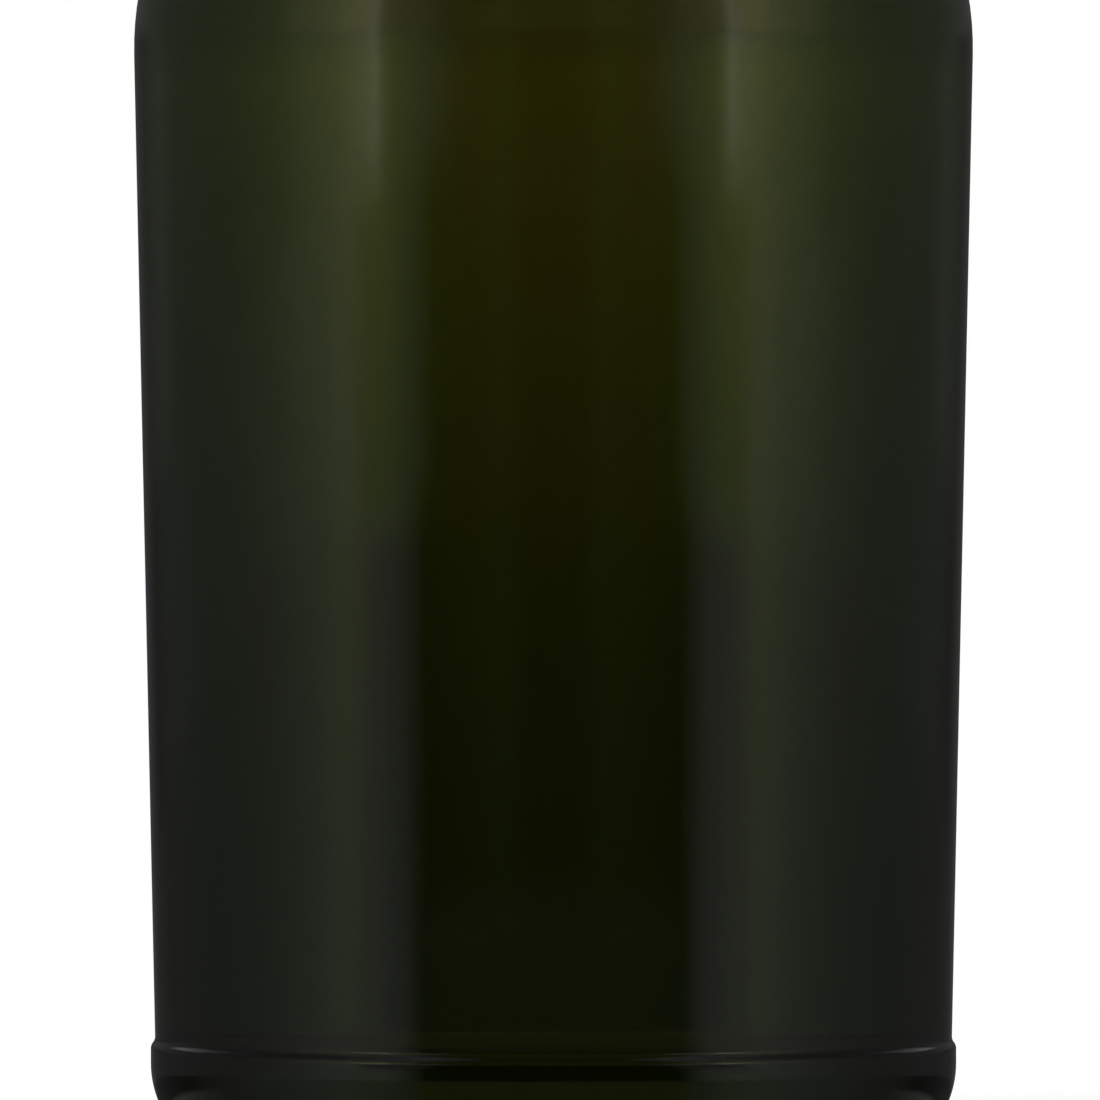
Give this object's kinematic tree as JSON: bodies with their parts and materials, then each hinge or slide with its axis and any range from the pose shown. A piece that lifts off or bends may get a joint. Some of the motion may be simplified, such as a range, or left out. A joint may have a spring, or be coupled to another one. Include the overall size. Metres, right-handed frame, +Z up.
{
  "type": "whisky bottle",
  "caption": "Round dark green glass bottle, tapering towards the foot, filled with whisky and closed by a cork with a turned head.",
  "frame": {"origin": "middle of the base ring's plane, on the bottle's axis", "axes": "+Z up the bottle's axis from the base to the stopper; round about +Z, so X and Y are any two directions across it"},
  "size_m": [0.0888, 0.0888, 0.2445],
  "materials": {
    "dark_green_glass": "smooth, nearly black green",
    "whisky": "clear amber liquid",
    "cork": "natural cork",
    "stopper_black": "satin black"
  },
  "bodies": {
    "root": {"glass_bottle": "dark_green_glass", "whisky": "whisky", "stopper_cork": "cork", "stopper_head": "stopper_black"}
  },
  "joints": []
}
